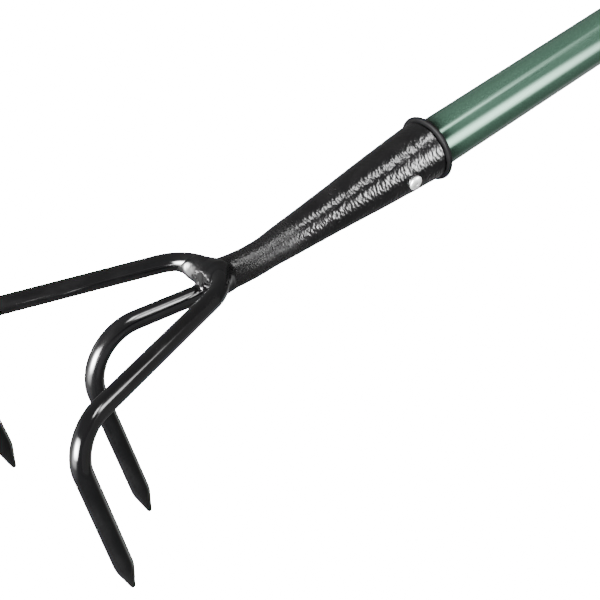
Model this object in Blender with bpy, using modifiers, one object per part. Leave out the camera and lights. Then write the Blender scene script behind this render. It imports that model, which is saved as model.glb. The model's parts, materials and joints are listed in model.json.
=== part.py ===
"""Hand cultivator: three round-bar tines welded to a tapered socket, which is riveted onto a tubular handle.

Lengths are in metres. The tool is drawn along its own axis: +X runs from the socket's mouth (x = 0) to the
butt, the tines point to -Z, and y = 0 is the plane that the tool is symmetric about. A parent empty then lays
the whole tool down, with the butt and the point of the centre tine on z = 0.
"""

import math

import bmesh
import bpy
from mathutils import Matrix, Quaternion, Vector

GAP = 0.0003  # left between pieces that touch

# Handle tube
TUBE_RADIUS = 0.0129
TUBE_WALL = 0.0012
TUBE_END = 0.2855
SWAGE_START = 0.0016  # the tube is drawn down from here to its front end
SWAGE_END = -0.042
SWAGE_RADIUS = 0.0101

# Socket: a cone of sheet steel drawn down to a solid-looking neck
MOUTH_X = -0.0016
CONE_END = -0.104
# The cone's outside as (x, radius), from its mouth to its neck
CONE_OUTLINE = (
    (MOUTH_X, 0.0154), (-0.020, 0.0143), (-0.040, 0.0128), (-0.060, 0.0111),
    (-0.080, 0.0096), (-0.092, 0.0088), (CONE_END, 0.0078),
)
NECK_END = -0.1292
FOOT_RADIUS = 0.0090
FOOT_RISE = 0.0026  # the neck's end is lifted towards the hairpin bend
SHEET = 0.0013

# Collar bush: a plastic liner with a rounded flange that shows between the socket and the tube
FLANGE_X = 0.0006  # the middle of the flange, which stands a little clear of the socket's edge
FLANGE_RADIUS = 0.0173
FLANGE_HALF_WIDTH = 0.0013
LINER_END = -0.034

# Blind rivet
RIVET_X = -0.0212
RIVET_BELOW = math.radians(11)  # how far the rivet lies below the -Y side
RIVET_HEAD_RADIUS = 0.0038
RIVET_HEAD_HEIGHT = 0.0013
RIVET_RADIUS = 0.0020
MANDREL_RADIUS = 0.0009

# Tines: round bar, the outer two bent from one length
ROD_RADIUS = 0.0044
POINT_LENGTH = 0.0150
BEND_APEX = Vector((-0.1340, 0, 0.0098))
BEND_RADIUS = 0.0223
FAN_RISE = math.radians(6.5)  # slope of the hairpin's plane
FAN_SPREAD = math.radians(20.6)  # each leg's angle to the middle plane
FAN_REACH = 0.1067  # from the bend's apex to the corners, in the hairpin's plane
OUTER_CORNER_RADIUS = 0.0172
OUTER_DROP = 0.0930
TOE_BACK = math.radians(1.3)
TOE_IN = math.radians(1.8)
CENTRE_TANG_END = -0.098
CENTRE_KICK = Vector((-0.1376, 0, 0))
CENTRE_KICK_RADIUS = 0.040
CENTRE_RISE = math.radians(12.1)
CENTRE_REACH = 0.0689
CENTRE_CORNER_RADIUS = 0.0231
CENTRE_DROP = 0.1098
CENTRE_TOE_BACK = math.radians(2.2)

# Weld beads
BEAD_RADIUS = 0.0016

# Grip and end plug
GRIP_START = 0.1720
GRIP_END = 0.2860
GRIP_RADIUS = 0.0152
GUARD_RADIUS = 0.0170
GRIP_RIBS = 8
RIB_PITCH = 0.0105
GROOVE_WIDTH = 0.0040
GROOVE_DEPTH = 0.0008
BUTT_RADIUS = 0.0162
NOSE_START = 0.2905  # the plug's rim ends here, and the butt rests on this edge
PLUG_SHANK_START = 0.2600
PLUG_END = 0.3120
TAB_START = 0.2945
TAB_HALF_THICKNESS = 0.0045
HANG_HOLE_X = 0.3010
HANG_HOLE_RADIUS = 0.0045

TURN_STEPS = 32
BAR_BEVEL = 4  # 12 sides


def clear_scene():
    for obj in list(bpy.data.objects):
        bpy.data.objects.remove(obj)


def collection(name):
    made = bpy.data.collections.new(name)
    bpy.context.scene.collection.children.link(made)
    return made


def material(name, colour, roughness, metallic=0.0):
    made = bpy.data.materials.new(name)
    made.use_nodes = True
    shader = made.node_tree.nodes["Principled BSDF"]
    shader.inputs["Base Color"].default_value = (*colour, 1)
    shader.inputs["Roughness"].default_value = roughness
    shader.inputs["Metallic"].default_value = metallic
    return made


def place(name, data, finish, group):
    """An object for this mesh or curve, in the tool's frame."""
    obj = bpy.data.objects.new(name, data)
    group.objects.link(obj)
    if finish:
        data.materials.append(finish)
    return obj


def smooth(mesh):
    mesh.shade_smooth()
    mesh.set_sharp_from_angle(angle=math.radians(35))


def turned(name, profile, finish, group, closed=False):
    """A solid turned about the tool's axis. The profile lists (x, radius), from the highest x down its outer side.

    A closed profile goes on up its inner side, and so makes a ring."""
    mesh = bpy.data.meshes.new(name)
    points = [(radius, 0, x) for x, radius in profile]
    edges = [(i, i + 1) for i in range(len(points) - 1)]
    if closed:
        edges.append((len(points) - 1, 0))
    mesh.from_pydata(points, edges, [])
    obj = place(name, mesh, finish, group)
    obj.rotation_euler = (0, math.pi / 2, 0)
    screw = obj.modifiers.new("turn", "SCREW")
    screw.steps = screw.render_steps = TURN_STEPS
    screw.use_merge_vertices = True
    screw.merge_threshold = 0.00001
    return obj


def bar(name, stations, finish, group, bevel=BAR_BEVEL):
    """A bar of round section along a path. The stations list (point, radius)."""
    curve = bpy.data.curves.new(name, "CURVE")
    curve.dimensions = "3D"
    curve.bevel_depth = 1.0
    curve.bevel_resolution = bevel
    curve.use_fill_caps = True
    spline = curve.splines.new("POLY")
    spline.points.add(len(stations) - 1)
    for point, (place_, radius) in zip(spline.points, stations):
        point.co = (*place_, 1)
        point.radius = radius
    return place(name, curve, finish, group)


def as_mesh(obj):
    """The same object with its curve made a mesh, so that a Boolean can cut it."""
    bpy.context.view_layer.update()
    graph = bpy.context.evaluated_depsgraph_get()
    mesh = bpy.data.meshes.new_from_object(obj.evaluated_get(graph))
    work = bmesh.new()
    work.from_mesh(mesh)
    bmesh.ops.remove_doubles(work, verts=work.verts, dist=0.000001)
    bmesh.ops.recalc_face_normals(work, faces=work.faces)
    work.to_mesh(mesh)
    work.free()
    name, group, world = obj.name, obj.users_collection[0], obj.matrix_world.copy()
    bpy.data.objects.remove(obj)
    made = bpy.data.objects.new(name, mesh)
    made.matrix_world = world
    group.objects.link(made)
    smooth(mesh)
    return made


def cut(obj, cutter):
    cutter.hide_render = True
    cutter.display_type = "WIRE"
    boolean = obj.modifiers.new("cut_" + cutter.name, "BOOLEAN")
    boolean.operation = "DIFFERENCE"
    boolean.solver = "EXACT"
    boolean.object = cutter


def rod_cutter(name, radius, length, centre, turn, group):
    """A plain cylinder, its axis turned from +Z by these Euler angles."""
    work = bmesh.new()
    bmesh.ops.create_cone(
        work, cap_ends=True, segments=24, radius1=radius, radius2=radius, depth=length
    )
    mesh = bpy.data.meshes.new(name)
    work.to_mesh(mesh)
    work.free()
    obj = place(name, mesh, None, group)
    obj.location = centre
    obj.rotation_euler = turn
    return obj


def block_cutter(name, low, high, group):
    size = Vector(high) - Vector(low)
    middle = (Vector(high) + Vector(low)) / 2
    work = bmesh.new()
    bmesh.ops.create_cube(work, size=1)
    bmesh.ops.transform(
        work, matrix=Matrix.Translation(middle) @ Matrix.Diagonal((*size, 1)), verts=work.verts
    )
    mesh = bpy.data.meshes.new(name)
    work.to_mesh(mesh)
    work.free()
    return place(name, mesh, None, group)


def rounded_path(corners, bend_radii, steps_per_right_angle=7):
    """Points along straight runs through the corners, each inner corner bent to its radius."""
    points = [corners[0]]
    for before, corner, after, radius in zip(corners, corners[1:], corners[2:], bend_radii):
        arriving = (corner - before).normalized()
        leaving = (after - corner).normalized()
        turn = arriving.angle(leaving)
        inward = (leaving - arriving).normalized()
        centre = corner + inward * radius / math.cos(turn / 2)
        start = corner - arriving * radius * math.tan(turn / 2)
        axis = arriving.cross(leaving)
        steps = max(3, math.ceil(turn / (math.pi / 2) * steps_per_right_angle))
        for i in range(steps + 1):
            points.append(centre + Quaternion(axis, turn * i / steps) @ (start - centre))
    points.append(corners[-1])
    return points


def pointed(end, towards):
    """Stations of a ground point: its blunt end, then back along the bar to its full radius."""
    way = (towards - end).normalized()
    shape = ((0, 0.10), (0.0004, 0.20), (0.0013, 0.27), (POINT_LENGTH - 0.0012, 0.95), (POINT_LENGTH + 0.0016, 1))
    return [(end + way * back, ROD_RADIUS * share) for back, share in shape]


def outer_corner(side):
    """Where the centre line of an outer leg turns down. Side is -1 or 1."""
    along = Vector((-math.cos(FAN_RISE), 0, math.sin(FAN_RISE)))
    beside = BEND_RADIUS / math.cos(FAN_SPREAD)
    half_width = (FAN_REACH - BEND_RADIUS) * math.tan(FAN_SPREAD) + beside
    return BEND_APEX + along * FAN_REACH + Vector((0, side * half_width, 0))


def outer_tip(side):
    down = Vector((math.sin(TOE_BACK), -side * math.sin(TOE_IN), -math.cos(TOE_BACK)))
    return outer_corner(side) + down.normalized() * OUTER_DROP


def centre_corner():
    return CENTRE_KICK + CENTRE_REACH * Vector((-math.cos(CENTRE_RISE), 0, math.sin(CENTRE_RISE)))


def centre_tip():
    down = Vector((math.sin(CENTRE_TOE_BACK), 0, -math.cos(CENTRE_TOE_BACK)))
    return centre_corner() + down * CENTRE_DROP


def make_outer_tines(finish, group):
    """Both outer tines are one bar, bent like a hairpin over the neck."""
    along = Vector((-math.cos(FAN_RISE), 0, math.sin(FAN_RISE)))
    # The two legs' centre lines meet here, and the hairpin bend rounds this corner.
    meeting = BEND_APEX + along * BEND_RADIUS * (1 - 1 / math.sin(FAN_SPREAD))
    corners = [outer_tip(-1), outer_corner(-1), meeting, outer_corner(1), outer_tip(1)]
    path = rounded_path(corners, (OUTER_CORNER_RADIUS, BEND_RADIUS, OUTER_CORNER_RADIUS))
    stations = pointed(path[0], path[1])
    stations += [(point, ROD_RADIUS) for point in path[1:-1]]
    stations += reversed(pointed(path[-1], path[-2]))
    return as_mesh(bar("outer_tines", stations, finish, group))


def make_centre_tine(finish, group):
    """The centre tine's tang runs back inside the socket's neck."""
    corners = [Vector((CENTRE_TANG_END, 0, 0)), CENTRE_KICK, centre_corner(), centre_tip()]
    path = rounded_path(corners, (CENTRE_KICK_RADIUS, CENTRE_CORNER_RADIUS))
    stations = [(point, ROD_RADIUS) for point in path[:-1]]
    stations += reversed(pointed(path[-1], path[-2]))
    return as_mesh(bar("centre_tine", stations, finish, group))


def socket_radius(x):
    """Outer radius of the cone at x."""
    for (near, wide), (far, narrow) in zip(CONE_OUTLINE, CONE_OUTLINE[1:]):
        if x >= far:
            break
    return wide + (narrow - wide) * (near - x) / (near - far)


def swage_radius(x):
    """Outer radius of the handle tube inside the socket."""
    share = (x - SWAGE_START) / (SWAGE_END - SWAGE_START)
    return TUBE_RADIUS + (SWAGE_RADIUS - TUBE_RADIUS) * share


def make_socket(finish, group, cutters):
    stations = [(Vector((x, 0, 0)), radius) for x, radius in CONE_OUTLINE]
    neck_radius = CONE_OUTLINE[-1][1]
    for i in range(1, 6):
        share = i / 5
        x = CONE_END + (NECK_END - CONE_END) * share
        radius = neck_radius + (FOOT_RADIUS - neck_radius) * share**3
        stations.append((Vector((x, 0, FOOT_RISE * share**2)), radius))
    socket = as_mesh(bar("socket", stations, finish, group, bevel=14))

    hollow_end = CONE_END + 0.024
    depths = [MOUTH_X + 0.001] + [MOUTH_X + (hollow_end - MOUTH_X) * i / 5 for i in range(1, 6)]
    profile = [(depths[0], 0)] + [(x, socket_radius(x) - SHEET) for x in depths]
    neck_bore = ROD_RADIUS + GAP
    profile += [(CONE_END, neck_bore), (NECK_END - 0.004, neck_bore), (NECK_END - 0.004, 0)]
    cut(socket, turned("socket_hollow", profile, None, cutters))
    return socket


def make_handle_tube(finish, group):
    inner = TUBE_RADIUS - TUBE_WALL
    profile = [
        (TUBE_END, TUBE_RADIUS),
        (SWAGE_START, TUBE_RADIUS),
        (SWAGE_END, SWAGE_RADIUS),
        (SWAGE_END, SWAGE_RADIUS - TUBE_WALL),
        (SWAGE_START, inner),
        (TUBE_END, inner),
    ]
    return turned("handle_tube", profile, finish, group, closed=True)


def make_collar_bush(finish, group):
    """The flange's rim is half round, and the liner fills the space between the cone and the tube."""
    rim = FLANGE_RADIUS - FLANGE_HALF_WIDTH
    front = FLANGE_X - FLANGE_HALF_WIDTH
    back = FLANGE_X + FLANGE_HALF_WIDTH
    profile = [(back, TUBE_RADIUS + GAP)]
    for i in range(7):
        angle = math.pi * i / 6
        x = FLANGE_X + FLANGE_HALF_WIDTH * math.cos(angle)
        profile.append((x, rim + FLANGE_HALF_WIDTH * math.sin(angle)))
    for x in (front, LINER_END):
        profile.append((x, socket_radius(x) - SHEET - GAP))
    profile.append((LINER_END, swage_radius(LINER_END) + GAP))
    profile.append((0, swage_radius(0) + GAP))
    return turned("collar_bush", profile, finish, group, closed=True)


def rivet_turn():
    return (math.pi / 2 + RIVET_BELOW, 0, 0)


def on_rivet_axis(obj):
    """Turns an object whose own axis is +Z so that this axis is the rivet's."""
    obj.location = (RIVET_X, 0, 0)
    obj.rotation_euler = rivet_turn()
    return obj


def make_rivet(body_finish, mandrel_finish, group):
    """A blind rivet: a hollow body with a domed head, bulged behind the wall, and the mandrel left inside it."""
    seat = socket_radius(RIVET_X) + GAP
    inside = swage_radius(RIVET_X) - TUBE_WALL - 2 * GAP
    bore = MANDREL_RADIUS + GAP
    bulge = 0.0029
    dome = [
        (seat + RIVET_HEAD_HEIGHT * math.cos(a), RIVET_HEAD_RADIUS * math.sin(a))
        for a in (math.radians(d) for d in (24, 42, 60, 76, 90))
    ]
    body_profile = [(dome[0][0], bore)] + dome
    body_profile += [(seat, RIVET_RADIUS), (inside, RIVET_RADIUS), (inside - 0.0007, bulge)]
    body_profile += [(inside - 0.0018, bulge), (inside - 0.0027, RIVET_RADIUS), (inside - 0.0027, bore)]
    body = on_rivet_axis(turned("rivet_body", body_profile, body_finish, group, closed=True))

    base = inside - 0.0027 - GAP
    ball = 0.0017
    mandrel_profile = [(dome[0][0] - 0.0004, 0), (dome[0][0] - 0.0004, MANDREL_RADIUS), (base, MANDREL_RADIUS)]
    mandrel_profile += [(base, ball), (base - 0.0008, ball), (base - 0.0018, 0.0008), (base - 0.0018, 0)]
    mandrel = on_rivet_axis(turned("rivet_mandrel", mandrel_profile, mandrel_finish, group))
    return body, mandrel


def drill_for_rivet(pieces, cutters):
    outward = Vector((0, -math.cos(RIVET_BELOW), -math.sin(RIVET_BELOW)))
    for piece in pieces:
        centre = Vector((RIVET_X, 0, 0)) + outward * 0.0125
        name = piece.name + "_rivet_hole"
        cut(piece, rod_cutter(name, RIVET_RADIUS + GAP, 0.009, centre, rivet_turn(), cutters))


def bead(name, points, finish, group):
    """A weld bead: a thin bar that swells from its two ends."""
    last = len(points) - 1
    stations = []
    for i, point in enumerate(points):
        swell = min(1, 0.45 + 2.2 * min(i, last - i) / last)
        stations.append((point, BEAD_RADIUS * swell))
    return as_mesh(bar(name, stations, finish, group, bevel=2))


def make_welds(finish, group):
    """One bead behind the hairpin bend, one in front of it, and one under the neck's end."""
    ring = FOOT_RADIUS + GAP + BEAD_RADIUS
    back = []
    for i in range(13):
        angle = math.radians(-105 + 210 * i / 12)
        x = NECK_END + 0.0014
        back.append(Vector((x, ring * math.sin(angle), FOOT_RISE + ring * math.cos(angle))))
    front = []
    for i in range(7):
        y = 0.0044 * (i / 3 - 1)
        x = BEND_APEX.x - ROD_RADIUS - BEAD_RADIUS * 0.95 - 22 * y**2
        front.append(Vector((x, y, 0.0072 + 0.16 * abs(y))))
    under = []
    hug = ROD_RADIUS + GAP + BEAD_RADIUS
    for i in range(11):
        angle = math.radians(180 - 100 + 200 * i / 10)
        x = NECK_END - GAP - BEAD_RADIUS - 0.0026
        under.append(Vector((x, hug * math.sin(angle), hug * math.cos(angle) + 0.0001)))
    return [
        bead("weld_back", back, finish, group),
        bead("weld_front", front, finish, group),
        bead("weld_under", under, finish, group),
    ]


def make_grip(finish, group):
    """A ribbed sleeve with a guard at its front and a swell towards the butt."""
    inner = TUBE_RADIUS + GAP
    outer = [(GRIP_START, inner + 0.0008), (GRIP_START + 0.0022, GUARD_RADIUS), (GRIP_START + 0.0050, GUARD_RADIUS)]
    outer.append((GRIP_START + 0.0100, GRIP_RADIUS))
    first = GRIP_START + 0.0160
    for i in range(GRIP_RIBS):
        x = first + RIB_PITCH * i
        floor = GRIP_RADIUS - GROOVE_DEPTH
        outer += [(x, GRIP_RADIUS), (x + 0.0010, floor), (x + GROOVE_WIDTH - 0.0010, floor)]
        outer.append((x + GROOVE_WIDTH, GRIP_RADIUS))
    outer += [(GRIP_END - 0.0050, BUTT_RADIUS), (GRIP_END, BUTT_RADIUS)]
    profile = list(reversed(outer)) + [(GRIP_START, inner), (GRIP_END, inner)]
    return turned("grip_sleeve", profile, finish, group, closed=True)


def make_end_plug(finish, group, cutters):
    """A plug pushed into the tube, whose nose is flattened to a tab with a hang hole."""
    reach = PLUG_END - NOSE_START
    profile = []
    for i in range(9):
        angle = math.pi / 2 * i / 8
        profile.append((NOSE_START + reach * math.cos(angle), BUTT_RADIUS * math.sin(angle) ** 0.8))
    shank = TUBE_RADIUS - TUBE_WALL - GAP
    profile += [(GRIP_END + GAP, BUTT_RADIUS), (GRIP_END + GAP, shank)]
    for start in (0.2800, 0.2720):
        profile += [(start, shank), (start - 0.0010, shank - 0.0008), (start - 0.0030, shank - 0.0008)]
        profile.append((start - 0.0040, shank))
    profile += [(PLUG_SHANK_START + 0.0015, shank), (PLUG_SHANK_START, shank - 0.0015), (PLUG_SHANK_START, 0)]
    plug = turned("end_plug", profile, finish, group)

    wide = 0.03
    for name, low, high in (
        ("tab_top", TAB_HALF_THICKNESS, wide),
        ("tab_bottom", -wide, -TAB_HALF_THICKNESS),
    ):
        cut(plug, block_cutter(name, (TAB_START, -wide, low), (PLUG_END + 0.005, wide, high), cutters))
    cut(plug, rod_cutter("hang_hole", HANG_HOLE_RADIUS, 0.02, (HANG_HOLE_X, 0, 0), (0, 0, 0), cutters))
    return plug


def lay_down(parts, helpers):
    """Tips the tool about Y until butt and centre point are level, and puts its box's bottom centre at the origin."""
    tip = centre_tip()
    drop = -tip.z - BUTT_RADIUS
    pitch = math.atan2(drop, NOSE_START - tip.x)
    rest = bpy.data.objects.new("tool_rest", None)
    bpy.context.scene.collection.objects.link(rest)
    rest.rotation_euler = (0, pitch, 0)
    for obj in parts + helpers:
        obj.parent = rest
    bpy.context.view_layer.update()
    graph = bpy.context.evaluated_depsgraph_get()
    points = []
    for obj in parts:
        seen = obj.evaluated_get(graph)
        points += [seen.matrix_world @ vertex.co for vertex in seen.data.vertices]
    low = [min(point[i] for point in points) for i in range(3)]
    high = [max(point[i] for point in points) for i in range(3)]
    rest.location = (-(low[0] + high[0]) / 2, -(low[1] + high[1]) / 2, -low[2])


def build():
    clear_scene()
    group = collection("hand_cultivator")
    cutters = collection("cutters")
    gloss_black = material("tine_black", (0.010, 0.010, 0.011), 0.15)
    hammered = material("socket_black", (0.012, 0.012, 0.012), 0.35)
    green = material("tube_green", (0.075, 0.180, 0.115), 0.25, 0.6)
    bush_black = material("bush_black", (0.012, 0.012, 0.013), 0.40)
    silver = material("rivet_silver", (0.75, 0.76, 0.76), 0.25, 1.0)
    steel = material("mandrel_steel", (0.45, 0.45, 0.46), 0.35, 1.0)
    grip_black = material("grip_black", (0.015, 0.015, 0.016), 0.60)
    plug_black = material("plug_black", (0.018, 0.018, 0.019), 0.45)

    socket = make_socket(hammered, group, cutters)
    tube = make_handle_tube(green, group)
    bush = make_collar_bush(bush_black, group)
    drill_for_rivet([socket, bush, tube], cutters)
    parts = [make_outer_tines(gloss_black, group), make_centre_tine(gloss_black, group), socket, tube, bush]
    parts += make_rivet(silver, steel, group)
    parts += make_welds(gloss_black, group)
    parts += [make_grip(grip_black, group), make_end_plug(plug_black, group, cutters)]
    lay_down(parts, list(cutters.objects))


build()
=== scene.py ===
"""The looks of the hand cultivator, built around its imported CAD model.

The tool lies on its butt and on the point of its centre tine. Most shapes here are worked out in
the tool's own frame: +X runs from the socket's mouth (x = 0) to the butt, the tines point to -Z,
and y = 0 is the middle plane. Lengths are in metres.
"""

import json
import math

import bpy
import numpy as np
from mathutils import Matrix, Quaternion, Vector, noise


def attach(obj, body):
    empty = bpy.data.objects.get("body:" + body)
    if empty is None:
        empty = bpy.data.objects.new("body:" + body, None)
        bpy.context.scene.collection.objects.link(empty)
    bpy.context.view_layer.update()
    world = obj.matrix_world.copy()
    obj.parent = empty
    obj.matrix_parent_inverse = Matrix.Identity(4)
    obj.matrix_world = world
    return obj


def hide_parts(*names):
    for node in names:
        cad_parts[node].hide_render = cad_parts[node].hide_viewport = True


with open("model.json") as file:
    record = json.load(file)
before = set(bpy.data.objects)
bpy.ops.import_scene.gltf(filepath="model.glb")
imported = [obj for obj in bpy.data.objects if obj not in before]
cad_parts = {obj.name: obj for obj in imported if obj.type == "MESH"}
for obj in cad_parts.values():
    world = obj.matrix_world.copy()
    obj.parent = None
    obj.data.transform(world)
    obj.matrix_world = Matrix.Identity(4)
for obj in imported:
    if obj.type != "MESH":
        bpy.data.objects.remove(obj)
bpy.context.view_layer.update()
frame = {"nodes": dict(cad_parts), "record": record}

GAP = 0.0003  # left between pieces that touch
SLIM_GAP = GAP * 0.4  # the same round the tube, where it shows

# The handle tube's rear end, from which the tool's frame is found
TUBE_END = 0.2855
RIM_TOLERANCE = 0.00005

# Tines: round bar, the outer two bent from one length
ROD_RADIUS = 0.0044
ROD_SIDES = 56
ROD_STEP = 0.0008
POINT_LENGTH = 0.0150
# Ground points as (distance from the end, share of the bar's radius)
POINT_PROFILE = (
    (0, 0.0), (0.00012, 0.10), (0.0004, 0.19), (0.0009, 0.245), (0.0016, 0.29),
    (POINT_LENGTH - 0.0016, 0.93), (POINT_LENGTH, 0.975), (POINT_LENGTH + 0.0018, 1),
)
PAINT_INSET = 0.00006  # keeps the shown bars inside the CAD's box
BAR_WAVES = 0.000025  # height of the drawn bar's unevenness, and its rates along and round the bar
BAR_WAVE_RATES = (60, 180)
GRINDING_WAVES = 0.00007  # the same on the ground points
GRINDING_RATES = (350, 420)
GRINDING_FADE = 0.004  # the points' very ends are smoother
LEAST_RADIUS = 0.00001
BEND_APEX = Vector((-0.1340, 0, 0.0098))
BEND_RADIUS = 0.0223
FAN_RISE = math.radians(6.5)  # slope of the hairpin's plane
FAN_ALONG = Vector((-math.cos(FAN_RISE), 0, math.sin(FAN_RISE)))
FAN_UP = Vector((math.sin(FAN_RISE), 0, math.cos(FAN_RISE)))
FAN_SPREAD = math.radians(20.6)  # each leg's angle to the middle plane
FAN_REACH = 0.1067  # from the bend's apex to the corners, in the hairpin's plane
OUTER_CORNER_RADIUS = 0.0172
OUTER_DROP = 0.0930
TOE_BACK = math.radians(1.3)
TOE_IN = math.radians(1.8)
CENTRE_TANG_END = -0.098
CENTRE_KICK = Vector((-0.1376, 0, 0))
CENTRE_KICK_RADIUS = 0.040
CENTRE_RISE = math.radians(12.1)
CENTRE_REACH = 0.0689
CENTRE_CORNER_RADIUS = 0.0231
CENTRE_DROP = 0.1098
CENTRE_TOE_BACK = math.radians(2.2)

# Socket
MOUTH_X = -0.0016
CONE_END = -0.104
# The cone's outside as (x, radius), from its mouth to its neck
CONE_OUTLINE = (
    (MOUTH_X, 0.0154), (-0.020, 0.0143), (-0.040, 0.0128), (-0.060, 0.0111),
    (-0.080, 0.0096), (-0.092, 0.0088), (CONE_END, 0.0078),
)
NECK_RADIUS = CONE_OUTLINE[-1][1]
NECK_END = -0.1292
FOOT_RADIUS = 0.0084
FOOT_RISE = 0.0031
SHEET = 0.0013
FOOT_EDGE = 0.0006  # radius of the foot's rounded rim
# The mouth's rounded lip, from the inside out, as (distance in from the mouth, depth in the sheet)
LIP = ((0.006, SHEET), (0.0002, SHEET), (0.0, 0.0011), (0.00008, 0.0008), (0.0003, 0.00045))
LIP_LENGTH = LIP[-1][0]
SOCKET_SIDES = 288
SOCKET_RINGS = 380
SOCKET_INSET = 0.00008  # leaves room for the folds' crests
FOLD_DEPTH = 0.00019  # how far the hammered skin rises and falls
FOLD_RATE = 1150  # folds along the socket, in noise units to a metre
FIRST_FOLD_RATE = 430  # the same round it, for folds that run straight round
SLANTED_FOLD_RATE = 520  # and for those that cross
FOLD_SLANT = 5
FOLD_DRIFT = 1.2
DRIFT_RATE = 160
FINE_FOLDS_X = -0.080  # from here to the neck the folds get finer
FINE_FOLDS_REACH = 0.016
SMOOTH_FOOT = (0.0020, 0.005)  # the foot's smooth length, and the length over which folds begin
SMOOTH_MOUTH = 0.0006

# Collar bush
FLANGE_X = 0.0006
FLANGE_RADIUS = 0.0173
FLANGE_HALF_WIDTH = 0.0013
LINER_END = -0.034

# Handle tube
TUBE_RADIUS = 0.0129
TUBE_WALL = 0.0012
SWAGE_START = 0.0016
SWAGE_END = -0.042
SWAGE_RADIUS = 0.0101

# Blind rivet
RIVET_X = -0.0212
RIVET_BELOW = math.radians(11)
RIVET_HEAD_RADIUS = 0.0038
RIVET_HEAD_HEIGHT = 0.0013
RIVET_RIM = math.radians(15)  # where the dome starts, round the mandrel
RIVET_LIFT = 0.00025  # of the head's dome over the socket
RIVET_SHANK_RADIUS = 0.0020
RIVET_SHANK_END = 0.003  # under the socket's outside
MANDREL_RADIUS = 0.00055
MANDREL_LENGTH = 0.004
MANDREL_SUNK = 0.00022  # its end under the head's dome
ON_AXIS = 0.00002  # radius of the small flats where a turned shape meets its axis

# Weld metal. Fillets and blends say how near two surfaces are when the metal begins to bridge them
BACK_FILLET = 0.0042
SIDE_FILLET = 0.0090  # on the near side, where the metal runs further
SIDE_START, SIDE_REACH = 0.0010, 0.0050
CROOK_FILLET = 0.0050
UNDER_FILL = 0.0078  # how far the metal carries the neck's shape on under the hairpin
UNDER_BLEND = 0.0040
# The bead inside the hairpin bend: how far round it runs, its balls, place and sizes
WEB_SPREAD = math.radians(36)
WEB_BALLS = 25
WEB_OFFSET = 0.0024
WEB_SIZE = 0.0040
WEB_END_SIZE = 0.0010
WEB_BLEND = 0.0045
# A flat run of metal in the far side of the bend: its middle, the way it faces, size and curve
PUDDLE = Vector((-0.1394, 0.0058, 0.0107))
PUDDLE_FACES = Vector((-0.633, -0.550, 0.545))
PUDDLE_SIZE = 0.0044
PUDDLE_CURVE = 0.034
PUDDLE_RIM = 0.0018
PUDDLE_BLEND = 0.0042
WELD_INSET = 0.00012  # sinks the skin just under the bars, away from the fillets
NECK_INSET = 0.0005  # sinks it deeper under the hammered neck, past the foot's rim
NECK_INSET_START, NECK_INSET_REACH = 0.0007, 0.004
# The weld metal ends in an ellipsoid: its middle and half lengths
WELD_MIDDLE = (-0.1350, 0, 0.003)
WELD_REACH = (0.0165, 0.0185, 0.0130)
WELD_SIZE = 0.0125  # turns the ellipsoid's field into a rough distance
WELD_LOW = (-0.158, -0.021, -0.0115)  # the sampled box
WELD_HIGH = (-0.1180, 0.021, 0.0205)
WELD_STEP = 0.00026
BAR_STEP = 0.0025  # of the bars' paths in that box, and how far beyond it they are followed
BAR_MARGIN = 0.012
# The roughness in the crook of the hairpin: where it starts along the tool and on the near side,
# how far from the surface it is worked out, and over what height above a bar it grows
WELD_ROUGHNESS = 0.00022
ROUGH_START, ROUGH_REACH = -0.1350, 0.0015
ROUGH_SIDE, ROUGH_SIDE_REACH = 0.0070, 0.0050
ROUGH_DEPTH = 0.0009
BARE_BAR = 0.0006
ROUGH_LUMPS = (0.7, 0.0022, 4), (0.3, 0.0010, 9)  # as (share, size, seed)

# Grip and end plug
GRIP_START = 0.1720
GRIP_END = 0.2860
GRIP_RADIUS = 0.0152
GUARD_RADIUS = 0.0170
# The guard's outside as (distance from the grip's start, radius)
GUARD = (
    (0, TUBE_RADIUS + SLIM_GAP + 0.0008), (0.0022, GUARD_RADIUS), (0.0050, GUARD_RADIUS),
    (0.0100, GRIP_RADIUS),
)
GRIP_RIBS = 8
RIB_PITCH = 0.0105
GROOVE_WIDTH = 0.0040
GROOVE_DEPTH = 0.0008
GROOVE_SLOPE = 0.0010
FIRST_GROOVE = GRIP_START + 0.0160
BUTT_RADIUS = 0.0162
BUTT_LENGTH = 0.0050
NOSE_START = 0.2905
NOSE_INSET = 0.0003  # keeps the shown nose inside the CAD's box
NOSE_ROUNDNESS = 0.4  # the outline's power: 0.5 would be an ellipse
PARTING_LINE = 0.00012  # how far the mould's parting line stands out
PARTING_WIDTH = 0.00035
PLUG_END = 0.3120
PLUG_STEP = 0.00032
PLUG_SHANK_START = 0.2600
PLUG_RINGS = (0.2800, 0.2720)  # where the shank's two grooves start
PLUG_GROOVE_DEPTH = 0.0008
PLUG_CHAMFER = 0.0015
TAB_START = 0.2945
TAB_HALF_THICKNESS = 0.0045
HANG_HOLE_X = 0.3010
HANG_HOLE_RADIUS = 0.0045


# ---------------------------------------------------------------- the tool's frame


def tool_frame():
    """The matrix from the tool's frame to the row's, from the hang tab and the tube's end."""
    up = Vector(frame["record"]["mounts"][0]["axis"]).normalized()
    sideways = Vector((0, 1, 0))
    along = sideways.cross(up)
    places = [vertex.co for vertex in frame["nodes"]["handle_tube"].data.vertices]
    furthest = max(place.dot(along) for place in places)
    rim = [place for place in places if place.dot(along) > furthest - RIM_TOLERANCE]
    matrix = Matrix((along, sideways, up)).transposed().to_4x4()
    matrix.translation = sum(rim, Vector()) / len(rim) - along * TUBE_END
    return matrix


TOOL = tool_frame()


# ---------------------------------------------------------------- meshes


def keep(mesh, name, values):
    """Keeps a number or a vector for each point as an attribute, which the materials read."""
    values = np.array(values, np.float32)
    kind, field = ("FLOAT", "value") if values.ndim == 1 else ("FLOAT_VECTOR", "vector")
    mesh.attributes.new(name, kind, "POINT").data.foreach_set(field, values.ravel())


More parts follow.
